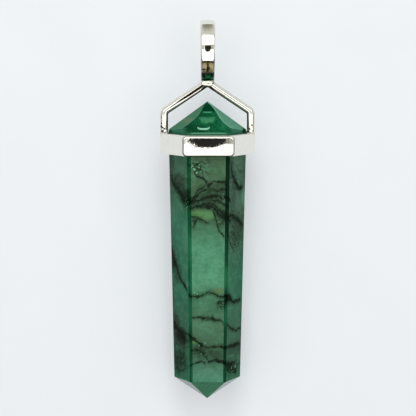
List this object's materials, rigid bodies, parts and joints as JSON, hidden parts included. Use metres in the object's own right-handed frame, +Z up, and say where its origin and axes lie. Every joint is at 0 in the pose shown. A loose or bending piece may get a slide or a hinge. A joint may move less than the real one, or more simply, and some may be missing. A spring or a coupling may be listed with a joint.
{
  "type": "crystal point pendant",
  "caption": "Six-sided double-pointed green veined stone in a silver band with a raised front plate, a wire arch and an oval bail, lying on its back.",
  "frame": {"origin": "on the resting surface, under the middle of the pendant's box", "axes": "+Y along the pendant from the stone's lower tip to the bail, +Z up and out of the front plate, +X to the wearer's left of the front"},
  "size_m": [0.0124, 0.0498, 0.0112],
  "materials": {
    "green_stone": "polished",
    "silver": "polished"
  },
  "bodies": {
    "root": {"crystal_point": "green_stone", "silver_mount": "silver"}
  },
  "joints": []
}
